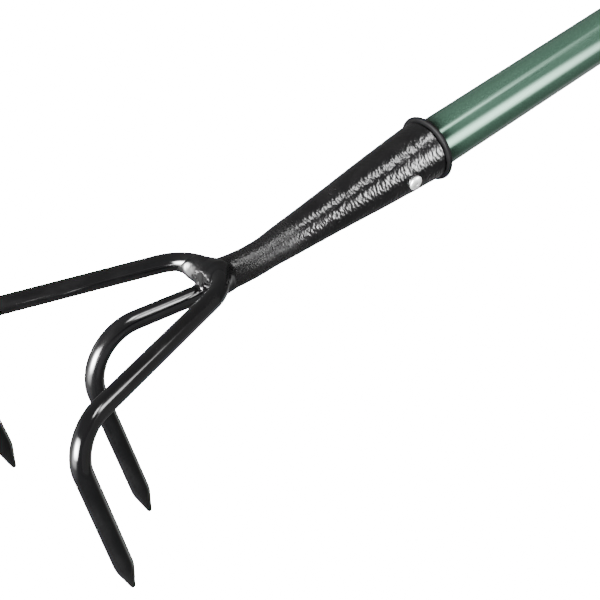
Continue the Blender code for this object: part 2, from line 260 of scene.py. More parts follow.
def piece(name, points, faces, finish, *replaced, slot, smooth_angle=35, **kept):
    """A shown piece from points in the tool's frame.

    It rides on the tool and stands for the replaced CAD nodes. The attribute "tool" keeps the
    points' places for the materials, and each of kept is one more attribute.
    """
    mesh = bpy.data.meshes.new(name)
    mesh.from_pydata([tuple(point) for point in points], [], faces)
    keep(mesh, "tool", points)
    for attribute, values in kept.items():
        keep(mesh, attribute, values)
    mesh.transform(TOOL)
    mesh.shade_smooth()
    mesh.set_sharp_from_angle(angle=math.radians(smooth_angle))
    mesh.materials.append(finish)
    obj = bpy.data.objects.new(name, mesh)
    bpy.context.scene.collection.objects.link(obj)
    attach(obj, "root")
    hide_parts(*replaced)
    return obj


def all_round(steps):
    """(cosine, sine) of equally spaced angles round a circle."""
    angles = [2 * math.pi * i / steps for i in range(steps)]
    return [(math.cos(angle), math.sin(angle)) for angle in angles]


def skin(rings, closed=False):
    """Quads over rings of equally many points.

    A closed skin joins its last ring to its first. Otherwise one face caps each end.
    """
    count = len(rings[0])
    points = [point for ring in rings for point in ring]
    faces = []
    for i in range(len(rings) if closed else len(rings) - 1):
        here = i * count
        there = (i + 1) % len(rings) * count
        for j in range(count):
            k = (j + 1) % count
            faces.append((here + j, here + k, there + k, there + j))
    if not closed:
        faces.append(tuple(reversed(range(count))))
        faces.append(tuple(range(len(points) - count, len(points))))
    return points, faces


def rounded_path(corners, bend_radii, step_angle=math.radians(3)):
    """Points along straight runs through the corners, with the inner ones bent to their radii."""
    points = [corners[0]]
    for before, corner, after, radius in zip(corners, corners[1:], corners[2:], bend_radii):
        arriving = (corner - before).normalized()
        leaving = (after - corner).normalized()
        turn = arriving.angle(leaving)
        inward = (leaving - arriving).normalized()
        centre = corner + inward * radius / math.cos(turn / 2)
        start = corner - arriving * radius * math.tan(turn / 2)
        axis = arriving.cross(leaving)
        steps = max(3, math.ceil(turn / step_angle))
        for i in range(steps + 1):
            points.append(centre + Quaternion(axis, turn * i / steps) @ (start - centre))
    points.append(corners[-1])
    return points


def resampled(path, step):
    """The same path with points about a step apart."""
    ends = [0.0]
    for a, b in zip(path, path[1:]):
        ends.append(ends[-1] + (b - a).length)
    count = round(ends[-1] / step)
    wanted = np.linspace(0, ends[-1], count + 1)
    columns = [np.interp(wanted, ends, [point[i] for point in path]) for i in range(3)]
    return [Vector(point) for point in zip(*columns)], wanted


def frames_along(path):
    """At each point, two directions square to the path, carried along it without twist."""
    ways = [(b - a).normalized() for a, b in zip(path, path[1:])]
    ways = [ways[0]] + [(a + b).normalized() for a, b in zip(ways, ways[1:])] + [ways[-1]]
    side = Vector((0, 1, 0)) if abs(ways[0].y) < 0.9 else Vector((1, 0, 0))
    side = (side - ways[0] * side.dot(ways[0])).normalized()
    found = []
    before = ways[0]
    for way in ways:
        side = before.rotation_difference(way) @ side
        side = (side - way * side.dot(way)).normalized()
        found.append((side, way.cross(side)))
        before = way
    return found


def turned(profile, steps=96):
    """Rings about the tool's axis for a profile of (x, radius)."""
    circle = all_round(steps)
    return [[(x, radius * y, radius * z) for y, z in circle] for x, radius in profile]


def eased(profile, radius, steps=4, least_turn=math.radians(8), most_of_run=0.45):
    """A profile of (x, radius) points with each inner corner rounded, as far as there is room."""
    corners = [Vector((x, 0, r)) for x, r in profile]
    points = [corners[0]]
    for before, corner, after in zip(corners, corners[1:], corners[2:]):
        arriving = (corner - before).normalized()
        leaving = (after - corner).normalized()
        turn = arriving.angle(leaving)
        if turn < least_turn:
            points.append(corner)
            continue
        room = most_of_run * min((corner - before).length, (after - corner).length)
        near = min(radius * math.tan(turn / 2), room)
        start = corner - arriving * near
        end = corner + leaving * near
        for i in range(steps + 1):
            t = i / steps
            points.append(start * (1 - t) ** 2 + corner * 2 * t * (1 - t) + end * t**2)
    points.append(corners[-1])
    return [(point.x, point.z) for point in points]


# ---------------------------------------------------------------- materials


class Nodes:
    """Adds nodes to a node tree."""

    def __init__(self, tree):
        self.tree = tree

    def node(self, kind, inputs=None, **settings):
        """A new node. Each input is a value or another node's output."""
        made = self.tree.nodes.new(kind)
        for name, value in settings.items():
            setattr(made, name, value)
        for name, value in (inputs or {}).items():
            if isinstance(value, bpy.types.NodeSocket):
                self.tree.links.new(value, made.inputs[name])
            else:
                made.inputs[name].default_value = value
        return made

    def maths(self, operation, a, b=0.0):
        return self.node("ShaderNodeMath", {0: a, 1: b}, operation=operation).outputs[0]

    def spread(self, value, low, high, to_low, to_high, smooth=True):
        """The value's range low to high carried to another range, and held at its ends."""
        inputs = {"Value": value, "From Min": low, "From Max": high}
        inputs.update({"To Min": to_low, "To Max": to_high})
        kind = "SMOOTHSTEP" if smooth else "LINEAR"
        return self.node("ShaderNodeMapRange", inputs, interpolation_type=kind).outputs["Result"]


class Finish(Nodes):
    """A Principled material that grows from texture nodes."""

    MIX_COLOURS = (6, 7)  # a Mix node's sockets for colours
    MIX_RESULT = 2

    def __init__(self, name, colour, roughness, metallic=0.0, **settings):
        self.material = bpy.data.materials.new(name)
        self.material.use_nodes = True
        super().__init__(self.material.node_tree)
        self.shader = self.tree.nodes["Principled BSDF"]
        self.shader.inputs["Base Color"].default_value = (*colour, 1)
        self.shader.inputs["Roughness"].default_value = roughness
        self.shader.inputs["Metallic"].default_value = metallic
        for socket, value in settings.items():
            self.shader.inputs[socket.replace("_", " ")].default_value = value

    def attribute(self, name, output):
        return self.node("ShaderNodeAttribute", attribute_name=name).outputs[output]

    def place(self, attribute, scale):
        """Coordinates from one of the piece's attributes, with a scale for each axis."""
        inputs = {"Vector": self.attribute(attribute, "Vector"), "Scale": scale}
        return self.node("ShaderNodeMapping", inputs).outputs["Vector"]

    def noise(self, place, detail=2.0, roughness=0.5):
        inputs = {"Vector": place, "Scale": 1.0, "Detail": detail, "Roughness": roughness}
        return self.node("ShaderNodeTexNoise", inputs).outputs["Fac"]

    def mixed(self, share, a, b):
        """A colour between two others."""
        colours = [c if isinstance(c, bpy.types.NodeSocket) else (*c, 1) for c in (a, b)]
        inputs = {"Factor": share, **dict(zip(self.MIX_COLOURS, colours))}
        return self.node("ShaderNodeMix", inputs, data_type="RGBA").outputs[self.MIX_RESULT]

    def bumped(self, height, distance, strength=1.0, onto=None):
        inputs = {"Height": height, "Distance": distance, "Strength": strength}
        if onto is not None:
            inputs["Normal"] = onto
        return self.node("ShaderNodeBump", inputs).outputs["Normal"]

    def set(self, name, value):
        self.tree.links.new(value, self.shader.inputs[name])
        return self


BLACK = (0.0010, 0.0010, 0.0011)
DUSTY_BLACK = (0.0022, 0.0022, 0.0023)
BARE_STEEL = (0.36, 0.35, 0.34)
GREEN = (0.040, 0.080, 0.056)
DEEP_GREENS = (0.032, 0.066, 0.047), (0.039, 0.078, 0.056)
FLAKE_GREEN = (0.10, 0.19, 0.14)
COLLAR_BLACK = (0.0018, 0.0018, 0.0019)
GRIP_BLACK = (0.010, 0.010, 0.0105)
PLUG_BLACK = (0.009, 0.009, 0.0095)
ZINC = (0.95, 0.96, 0.95)
MANDREL_STEEL = (0.4, 0.4, 0.41)
WORN_LENGTH = 0.0006  # bare steel at the tines' points
WORN_EDGE = 0.0016  # how ragged its edge is
WORN_FADE = 0.0006
NECK_DULLNESS = 0.12  # roughness that the neck has and the cone hasn't
NECK_GRAIN = 3.2  # how much coarser the neck's grain is than the cone's


def gloss_black(name, place_name, worn_below=None):
    """Stoved black gloss with orange peel, dust and rubbed patches, worn to steel at the points."""
    finish = Finish(name, BLACK, 0.12, Specular_IOR_Level=0.8)
    fine = finish.noise(finish.place(place_name, (500, 900, 900)), 2)
    broad = finish.noise(finish.place(place_name, (60, 160, 160)), 3)
    rubbed = finish.noise(finish.place(place_name, (25, 400, 400)), 4)
    rough = finish.spread(broad, 0.35, 0.7, 0.09, 0.15)
    rough = finish.maths("ADD", rough, finish.spread(rubbed, 0.60, 0.78, 0.0, 0.12))
    colour = finish.mixed(finish.spread(broad, 0.4, 0.75, 0.0, 1.0), BLACK, DUSTY_BLACK)
    if worn_below is not None:
        ragged = finish.noise(finish.place(place_name, (900, 900, 900)), 4, 0.7)
        ragged = finish.spread(ragged, 0.2, 0.8, -WORN_EDGE, WORN_EDGE, smooth=False)
        edge = finish.maths("ADD", finish.attribute("from_point", "Fac"), ragged)
        worn = finish.spread(edge, worn_below, worn_below + WORN_FADE, 1.0, 0.0)
        colour = finish.mixed(worn, colour, BARE_STEEL)
        rough = finish.maths("ADD", rough, finish.spread(worn, 0, 1, 0.0, 0.28))
        finish.set("Metallic", worn)
    finish.set("Base Color", colour)
    finish.set("Roughness", rough)
    peel = finish.bumped(fine, 0.00002, 0.5)
    finish.set("Normal", finish.bumped(broad, 0.00008, 0.35, peel))
    return finish.material


def hammered_black():
    """Black paint over the hammered sheet: glossy on the crests, dull in the folds."""
    finish = Finish("hammered_black", BLACK, 0.2, Specular_IOR_Level=0.8)
    grain = finish.noise(finish.place("tool", (1900, 1300, 1300)), 3, 0.65)
    dust = finish.noise(finish.place("tool", (90, 160, 160)), 4)
    place = finish.attribute("tool", "Vector")
    along = finish.node("ShaderNodeSeparateXYZ", {0: place}).outputs["X"]
    fine_end = FINE_FOLDS_X - FINE_FOLDS_REACH
    dull = finish.spread(along, fine_end, FINE_FOLDS_X, NECK_DULLNESS, 0.0)
    coarse = finish.spread(along, fine_end, FINE_FOLDS_X, NECK_GRAIN, 1.0)
    grain = finish.maths("MULTIPLY", grain, coarse)
    fold = finish.spread(finish.attribute("fold", "Fac"), -0.6, 0.6, 0.24, 0.12)
    rough = finish.maths("ADD", dull, fold)
    finish.set("Roughness", finish.maths("ADD", rough, finish.spread(dust, 0.5, 0.8, 0.0, 0.08)))
    dusty = finish.spread(dust, 0.35, 0.8, 0.0, 1.0)
    finish.set("Base Color", finish.mixed(dusty, BLACK, DUSTY_BLACK))
    finish.set("Normal", finish.bumped(grain, 0.00012, 0.45))
    return finish.material


def metallic_green():
    """Green metallic lacquer over drawn tube, with draw lines along it, flakes and rubbing."""
    finish = Finish("metallic_green", GREEN, 0.25, 0.66, Specular_IOR_Level=0.5)
    lines = finish.noise(finish.place("tool", (6, 1500, 1500)), 3, 0.6)
    broad = finish.noise(finish.place("tool", (14, 240, 240)), 3)
    flakes = finish.noise(finish.place("tool", (5200, 5200, 5200)), 1)
    deep = finish.mixed(finish.spread(broad, 0.35, 0.7, 0.0, 1.0), *DEEP_GREENS)
    flakes = finish.spread(flakes, 0.62, 0.72, 0.0, 0.5)
    finish.set("Base Color", finish.mixed(flakes, deep, FLAKE_GREEN))
    rough = finish.spread(lines, 0.3, 0.7, 0.11, 0.16)
    finish.set("Roughness", finish.maths("ADD", rough, finish.spread(broad, 0.55, 0.8, 0.0, 0.04)))
    finish.set("Normal", finish.bumped(lines, 0.00001, 0.3))
    return finish.material


def moulded_plastic(name, colour, roughness, grain_scale, grain_height, shine=0.5):
    """Black moulded plastic with a spark-eroded grain, a touch lighter where it is handled."""
    finish = Finish(name, colour, roughness, Specular_IOR_Level=shine)
    grain = finish.noise(finish.place("tool", (grain_scale,) * 3), 3, 0.6)
    handled = finish.noise(finish.place("tool", (70, 120, 120)), 4)
    lighter = tuple(channel * 1.7 for channel in colour)
    rubbed = finish.spread(handled, 0.4, 0.75, 0.0, 1.0)
    finish.set("Base Color", finish.mixed(rubbed, colour, lighter))
    finish.set("Roughness", finish.spread(handled, 0.3, 0.8, roughness - 0.06, roughness + 0.1))
    finish.set("Normal", finish.bumped(grain, grain_height, 0.6))
    return finish.material


def bright_metal(name, colour, roughness):
    """Bright metal with fine turned lines and small dents."""
    finish = Finish(name, colour, roughness, 1.0)
    dents = finish.noise(finish.place("tool", (900, 900, 900)), 3, 0.6)
    fine = finish.noise(finish.place("tool", (4000, 4000, 4000)), 2)
    finish.set("Roughness", finish.spread(dents, 0.3, 0.75, roughness - 0.06, roughness + 0.12))
    darker = tuple(channel * 0.72 for channel in colour)
    dented = finish.spread(dents, 0.5, 0.8, 0.0, 1.0)
    finish.set("Base Color", finish.mixed(dented, colour, darker))
    finish.set("Normal", finish.bumped(fine, 0.00003, 0.4, finish.bumped(dents, 0.0001, 0.3)))
    return finish.material


# ---------------------------------------------------------------- tines


def outer_corner(side):
    """Where an outer tine turns down, without its bend's radius. The side is -1 or 1."""
    beside = BEND_RADIUS / math.cos(FAN_SPREAD)
    half_width = (FAN_REACH - BEND_RADIUS) * math.tan(FAN_SPREAD) + beside
    return BEND_APEX + FAN_ALONG * FAN_REACH + Vector((0, side * half_width, 0))


def outer_tip(side):
    down = Vector((math.sin(TOE_BACK), -side * math.sin(TOE_IN), -math.cos(TOE_BACK)))
    return outer_corner(side) + down.normalized() * OUTER_DROP


def outer_path():
    meeting = BEND_APEX + FAN_ALONG * BEND_RADIUS * (1 - 1 / math.sin(FAN_SPREAD))
    corners = [outer_tip(-1), outer_corner(-1), meeting, outer_corner(1), outer_tip(1)]
    return rounded_path(corners, (OUTER_CORNER_RADIUS, BEND_RADIUS, OUTER_CORNER_RADIUS))


def centre_path():
    tang_end = Vector((CENTRE_TANG_END, 0, 0))
    along = Vector((-math.cos(CENTRE_RISE), 0, math.sin(CENTRE_RISE)))
    corner = CENTRE_KICK + CENTRE_REACH * along
    down = Vector((math.sin(CENTRE_TOE_BACK), 0, -math.cos(CENTRE_TOE_BACK)))
    corners = [tang_end, CENTRE_KICK, corner, corner + down * CENTRE_DROP]
    return rounded_path(corners, (CENTRE_KICK_RADIUS, CENTRE_CORNER_RADIUS))


def point_share(back):
    """How much of its full radius a ground point has, this far back from its end."""
    return float(np.interp(back, *zip(*POINT_PROFILE)))


def noise_at(place, along, around):
    """Smooth noise at a place, with its rate along x and its rate along y and z."""
    return noise.noise(Vector((place[0] * along, place[1] * around, place[2] * around)))


def bent_bar(path, both_pointed):
    """(rings, straight places, distances from the nearest point) of a round bar along a path."""
    path, distances = resampled(path, ROD_STEP)
    total = distances[-1]
    circle = all_round(ROD_SIDES)
    rings = []
    straight = []
    from_point = []
    for centre, (side, up), distance in zip(path, frames_along(path), distances):
        back = min(distance, total - distance) if both_pointed else total - distance
        radius = (ROD_RADIUS - PAINT_INSET) * point_share(back)
        ring = []
        for cosine, sine in circle:
            out = side * cosine + up * sine
            place = Vector((distance, ROD_RADIUS * cosine, ROD_RADIUS * sine))
            uneven = BAR_WAVES * noise_at(place, *BAR_WAVE_RATES)
            if back < POINT_LENGTH:
                fade = min(1, back / GRINDING_FADE)
                uneven += GRINDING_WAVES * noise_at(place, *GRINDING_RATES) * fade
            ring.append(centre + out * max(radius + uneven, LEAST_RADIUS))
            straight.append(place)
            from_point.append(back)
        rings.append(ring)
    return rings, straight, from_point


def make_bar(name, path, finish, both_pointed=False):
    rings, straight, back = bent_bar(path, both_pointed)
    points, faces = skin(rings)
    return piece(
        name, points, faces, finish, name, slot="tine_black", smooth_angle=60,
        bar=straight, from_point=back,
    )


# ---------------------------------------------------------------- socket


def socket_radius(x):
    """Outer radius of the cone at x."""
    for (near, wide), (far, narrow) in zip(CONE_OUTLINE, CONE_OUTLINE[1:]):
        if x >= far:
            break
    return wide + (narrow - wide) * (near - x) / (near - far)


def outside_of_neck(share):
    """(radius, height of the centre) of the neck's outside, this share of the way to its foot."""
    return NECK_RADIUS + (FOOT_RADIUS - NECK_RADIUS) * share**3, FOOT_RISE * share**2


def outside_of_socket(x):
    """(radius, height of the centre) of the socket's outside at x, down to the foot."""
    if x > CONE_END:
        return socket_radius(x), 0.0
    return outside_of_neck((CONE_END - x) / (CONE_END - NECK_END))


def rounded_off(past):
    """How much a quarter-round edge takes from the foot's radius, this far past its start."""
    return FOOT_EDGE - math.sqrt(max(0.0, FOOT_EDGE**2 - max(0.0, past) ** 2))


def hammer(place):
    """The hammered skin's height at a place, from -1 to 1: short folds that cross."""
    x, y, z = place
    finer = 1 + 0.5 * min(1, max(0, (FINE_FOLDS_X - x) / FINE_FOLDS_REACH))
    x, y, z = FINE_FOLDS_X + (x - FINE_FOLDS_X) * finer, y * finer, z * finer
    drift = noise_at((x, y, z), DRIFT_RATE, DRIFT_RATE)
    along = x * FOLD_RATE
    first = (along + drift * FOLD_DRIFT, y * FIRST_FOLD_RATE, z * FIRST_FOLD_RATE)
    y, z, slant = y * SLANTED_FOLD_RATE, z * SLANTED_FOLD_RATE, math.atan2(z, y) * FOLD_SLANT
    second = noise.noise(Vector((along + slant, y + 40, z - 7)))
    third = noise.noise(Vector((along - slant, y - 31, z + 17)))
    ridges = 0.45 * noise.noise(Vector(first)) + 0.6 * max(second, third) + 0.15 * drift
    return max(-1.0, min(1.0, ridges * 1.3))


def make_socket(finish):
    """The lip and then the hammered outside, down to the foot's rim."""
    lip = [(MOUTH_X - back, socket_radius(MOUTH_X - back) - depth) for back, depth in LIP]
    rings = turned(lip, SOCKET_SIDES)
    folds = [0.0] * (SOCKET_SIDES * len(rings))
    length = MOUTH_X - NECK_END - LIP_LENGTH
    smooth_end, fade = SMOOTH_FOOT
    circle = all_round(SOCKET_SIDES)
    for i in range(SOCKET_RINGS + 1):
        x = MOUTH_X - LIP_LENGTH - length * i / SOCKET_RINGS
        radius, rise = outside_of_socket(x)
        radius -= rounded_off(NECK_END + FOOT_EDGE - x)
        smooth_foot = min(1, max(0, (x - (NECK_END + smooth_end)) / fade))
        smooth_mouth = min(1, (MOUTH_X - x) / SMOOTH_MOUTH)
        depth = FOLD_DEPTH * smooth_foot * smooth_mouth
        ring = []
        for y, z in circle:
            fold = hammer((x, radius * y, radius * z))
            r = radius - SOCKET_INSET + depth * fold
            ring.append((x, r * y, r * z + rise))
            folds.append(fold)
        rings.append(ring)
    points, faces = skin(rings)
    piece(
        "socket", points, faces, finish, "socket", slot="socket_black", smooth_angle=70,
        fold=folds,
    )


# ---------------------------------------------------------------- welds


def distance_to_path(grid, path):
    """The distance from each grid point to a path of straight runs, at most a metre."""
    nearest = np.full(grid.shape[:-1], 1.0)
    for a, b in zip(path, path[1:]):
        run = b - a
        along = np.clip(((grid - a) @ run) / (run @ run), 0, 1)
        nearest = np.minimum(nearest, np.linalg.norm(grid - a - along[..., None] * run, axis=-1))
    return nearest


def blended(a, b, reach):
    """Two distance fields joined, with a fillet where they are nearer to each other than reach."""
    share = np.clip(0.5 + 0.5 * (b - a) / reach, 0, 1)
    return b + (a - b) * share - reach * share * (1 - share)


def surface_of(field):
    """(points, quads) of a sampled field's zero surface, in units of a cell.

    Each cell that the surface crosses has one point, at the middle of its edges' crossings.
    """
    cells = np.array(field.shape) - 1
    total = np.zeros((*cells, 3))
    count = np.zeros(cells)
    edges = []
    for axis in range(3):
        lower = np.take(field, range(cells[axis]), axis)
        upper = np.take(field, range(1, cells[axis] + 1), axis)
        crossed = (lower < 0) != (upper < 0)
        share = np.where(crossed, lower / np.where(crossed, lower - upper, 1), 0)
        edges.append((crossed, lower < 0))
        one, two = [other for other in range(3) if other != axis]
        for i in (0, 1):
            for j in (0, 1):
                window = [slice(None)] * 3
                window[one] = slice(i, i + cells[one])
                window[two] = slice(j, j + cells[two])
                hit = crossed[tuple(window)]
                count += hit
                total[..., axis] += share[tuple(window)]
                total[..., one] += i * hit
                total[..., two] += j * hit
    used = count > 0
    index = np.full(cells, -1)
    index[used] = np.arange(used.sum())
    points = np.argwhere(used) + total[used] / count[used][:, None]
    quads = []
    for axis, (crossed, inside) in enumerate(edges):
        one, two = [(1, 2), (2, 0), (0, 1)][axis]
        found = np.argwhere(crossed)
        found = found[(found[:, one] > 0) & (found[:, two] > 0)]
        found = found[(found[:, one] < cells[one]) & (found[:, two] < cells[two])]
        out = inside[tuple(found.T)]
        corners = []
        for i, j in ((1, 1), (0, 1), (0, 0), (1, 0)):
            cell = found.copy()
            cell[:, one] -= i
            cell[:, two] -= j
            corners.append(index[tuple(cell.T)])
        corners = np.stack(corners, 1)
        corners[~out] = corners[~out][:, ::-1]
        quads.append(corners)
    return points, np.concatenate(quads)


def lumpy(grid, cell, seed):
    """Smooth value noise from -1 to 1 at each place, from random numbers a cell apart."""
    place = (grid - grid.min(axis=0)) / cell
    base = np.floor(place).astype(int)
    share = place - base
    share = share * share * (3 - 2 * share)
    lattice = np.random.default_rng(seed).uniform(-1, 1, base.max(axis=0) + 2)
    total = np.zeros(len(grid))
    for i in (0, 1):
        for j in (0, 1):
            for k in (0, 1):
                ends = np.where((i, j, k), share, 1 - share)
                total += lattice[base[:, 0] + i, base[:, 1] + j, base[:, 2] + k] * ends.prod(axis=1)
    return total


def carved(a, b, easing):
    """What two distance fields have in common, with its edge rounded."""
    return -blended(-a, -b, easing)


def ramp(value, start, reach, least=0):
    """How far the value is on its way from the start over the reach, held at least and at 1."""
    return np.clip((value - start) / reach, least, 1)


def sampled(low, high, step):
    """The places of a grid between two corners."""
    axes = [np.arange(a, b, step) for a, b in zip(low, high)]
    return np.stack(np.meshgrid(*axes, indexing="ij"), axis=-1)


def ball(grid, middle, radius):
    return np.linalg.norm(grid - np.array(middle), axis=-1) - radius


def bar_near(grid, path):
    """The distance field of a round bar, from the part of its path that is near the grid."""
    low, high = np.array(WELD_LOW) - BAR_MARGIN, np.array(WELD_HIGH) + BAR_MARGIN
    coarse = np.array(resampled(path, BAR_STEP)[0])
    near = coarse[np.all((low < coarse) & (coarse < high), axis=1)]
    return distance_to_path(grid, near) - ROD_RADIUS


def weld_web(grid):
    """The bead inside the hairpin bend: balls in an arc, the largest in its middle."""
    web = np.full(grid.shape[:-1], 1.0)
    middle = BEND_APEX + FAN_ALONG * BEND_RADIUS
    for share in np.linspace(-1, 1, WEB_BALLS):
        angle = WEB_SPREAD * share
        out = -FAN_ALONG * math.cos(angle) + Vector((0, math.sin(angle), 0))
        place = middle + out * (BEND_RADIUS - WEB_OFFSET) - FAN_UP * WEB_OFFSET
        size = WEB_END_SIZE + (WEB_SIZE - WEB_END_SIZE) * math.cos(share * math.pi / 2)
        web = np.minimum(web, ball(grid, place, size))
    return web


def make_welds(finish):
    """One skin over all the weld metal, rough in the crook of the hairpin."""
    grid = sampled(WELD_LOW, WELD_HIGH, WELD_STEP)
    x, y, z = np.moveaxis(grid, -1, 0)
    hairpin = bar_near(grid, outer_path())
    centre = bar_near(grid, centre_path())
    radius, rise = outside_of_neck(ramp(-x, -CONE_END, CONE_END - NECK_END))
    neck = np.hypot(y, z - rise) - radius
    neck = carved(neck, NECK_END - UNDER_FILL - x, UNDER_BLEND)

    beside = ramp(-y, -SIDE_START, SIDE_REACH)
    metal = blended(hairpin, neck, BACK_FILLET + (SIDE_FILLET - BACK_FILLET) * beside)
    metal = blended(metal, centre, CROOK_FILLET)
    metal = blended(metal, weld_web(grid), WEB_BLEND)
    flat = ball(grid, PUDDLE - PUDDLE_FACES * PUDDLE_CURVE, PUDDLE_CURVE)
    puddle = carved(flat, ball(grid, PUDDLE, PUDDLE_SIZE), PUDDLE_RIM)
    metal = blended(metal, puddle, PUDDLE_BLEND)
    sunk = NECK_INSET * ramp(x, NECK_END + NECK_INSET_START, NECK_INSET_REACH)
    end = np.linalg.norm((grid - WELD_MIDDLE) / WELD_REACH, axis=-1) - 1
    shape = np.maximum(metal + WELD_INSET + sunk, end * WELD_SIZE)

    near = np.abs(shape) < ROUGH_DEPTH
    places = grid[near]
    crook = ramp(-places[:, 0], -ROUGH_START, ROUGH_REACH)
    crook *= ramp(centre[near], 0, BARE_BAR) * ramp(hairpin[near], 0, BARE_BAR)
    crook *= ramp(-places[:, 1], -ROUGH_SIDE, ROUGH_SIDE_REACH, 0.1)
    rough = sum(share * lumpy(places, cell, seed) for share, cell, seed in ROUGH_LUMPS)
    shape[near] += WELD_ROUGHNESS * crook * rough

    points, quads = surface_of(shape)
    piece(
        "weld_metal", points * WELD_STEP + WELD_LOW, quads.tolist(), finish,
        "weld_back", "weld_front", "weld_under", slot="weld_black", smooth_angle=80,
    )


# ---------------------------------------------------------------- collar, tube, rivet


def swage_radius(x):
    share = (x - SWAGE_START) / (SWAGE_END - SWAGE_START)
    return TUBE_RADIUS + (SWAGE_RADIUS - TUBE_RADIUS) * share


def make_collar(finish):
    """The rounded flange and the thin liner between the cone and the tube."""
    rim = FLANGE_RADIUS - FLANGE_HALF_WIDTH
    front = FLANGE_X - FLANGE_HALF_WIDTH
    profile = [(FLANGE_X + FLANGE_HALF_WIDTH, TUBE_RADIUS + SLIM_GAP)]
    for angle in np.linspace(0, math.pi, 17):
        x = FLANGE_X + FLANGE_HALF_WIDTH * math.cos(angle)
        profile.append((x, rim + FLANGE_HALF_WIDTH * math.sin(angle)))
    profile += [(x, socket_radius(x) - SHEET - GAP) for x in (front, LINER_END)]
    profile += [(x, swage_radius(x) + GAP) for x in (LINER_END, 0)]
    points, faces = skin(turned(profile, 160), closed=True)
    piece("collar_bush", points, faces, finish, "collar_bush", slot="bush_black")


def make_tube(finish):
    """The tube, with its end drawn in to fit the cone."""
    inner = TUBE_RADIUS - TUBE_WALL
    profile = [(x, TUBE_RADIUS) for x in np.linspace(TUBE_END, SWAGE_START, 61)]
    profile += [(SWAGE_END, SWAGE_RADIUS), (SWAGE_END, SWAGE_RADIUS - TUBE_WALL)]
    profile += [(SWAGE_START, inner), (TUBE_END, inner)]
    points, faces = skin(turned(profile, 192), closed=True)
    piece("handle_tube", points, faces, finish, "handle_tube", slot="tube_green")


def on_rivet_axis(points):
    """Points turned from the tool's axis onto the rivet's, low on the socket's near side."""
    outward = Vector((0, -math.cos(RIVET_BELOW), -math.sin(RIVET_BELOW)))
    across = Vector((1, 0, 0))
    third = outward.cross(across)
    origin = Vector((RIVET_X, 0, 0))
    return [origin + outward * p[0] + across * p[1] + third * p[2] for p in points]


def make_rivet(bright, dull):
    """The domed head with a dish in its middle, and the mandrel's end in that dish."""
    seat = socket_radius(RIVET_X)
    dome = []
    for angle in np.linspace(math.pi / 2, RIVET_RIM, 13):
        height = seat + RIVET_LIFT + RIVET_HEAD_HEIGHT * math.cos(angle)
        dome.append((height, RIVET_HEAD_RADIUS * math.sin(angle)))
    rim = dome[-1][0]
    profile = [(seat - RIVET_SHANK_END, RIVET_SHANK_RADIUS), (seat - 0.0005, RIVET_SHANK_RADIUS)]
    profile += [(seat - 0.0005, RIVET_HEAD_RADIUS * 0.9), (seat + 0.0001, RIVET_HEAD_RADIUS * 0.99)]
    dish = [(rim - 0.0001, 0.00078), (rim - 0.00028, 0.0005), (rim - 0.00030, ON_AXIS)]
    points, faces = skin(turned(profile + dome + dish, 72))
    points = on_rivet_axis(points)
    piece("rivet_body", points, faces, bright, "rivet_body", slot="rivet_silver", smooth_angle=50)

    top = rim - MANDREL_SUNK
    stem = [(top - MANDREL_LENGTH, 0.0003), (top - MANDREL_LENGTH, MANDREL_RADIUS)]
    stem += [(top - 0.0001, MANDREL_RADIUS), (top, 0.00042), (top + 0.00002, ON_AXIS)]
    points, faces = skin(turned(stem, 32))
    points = on_rivet_axis(points)
    piece("rivet_mandrel", points, faces, dull, "rivet_mandrel", slot="mandrel_steel")


# ---------------------------------------------------------------- grip and end plug


def make_grip(finish):
    """A guard in front, grooves that leave the ribs, and the wider butt."""
    inner = TUBE_RADIUS + SLIM_GAP
    floor = GRIP_RADIUS - GROOVE_DEPTH
    outer = [(GRIP_START + ahead, radius) for ahead, radius in GUARD]
    for i in range(GRIP_RIBS):
        start = FIRST_GROOVE + RIB_PITCH * i
        end = start + GROOVE_WIDTH
        outer += [(start, GRIP_RADIUS), (start + GROOVE_SLOPE, floor)]
        outer += [(end - GROOVE_SLOPE, floor), (end, GRIP_RADIUS)]
    outer += [(GRIP_END - BUTT_LENGTH, BUTT_RADIUS), (GRIP_END, BUTT_RADIUS)]
    profile = outer[::-1] + [(GRIP_START, inner), (GRIP_END, inner)]
    points, faces = skin(turned(eased(profile, 0.0009), 144), closed=True)
    piece("grip_sleeve", points, faces, finish, "grip_sleeve", slot="grip_black")


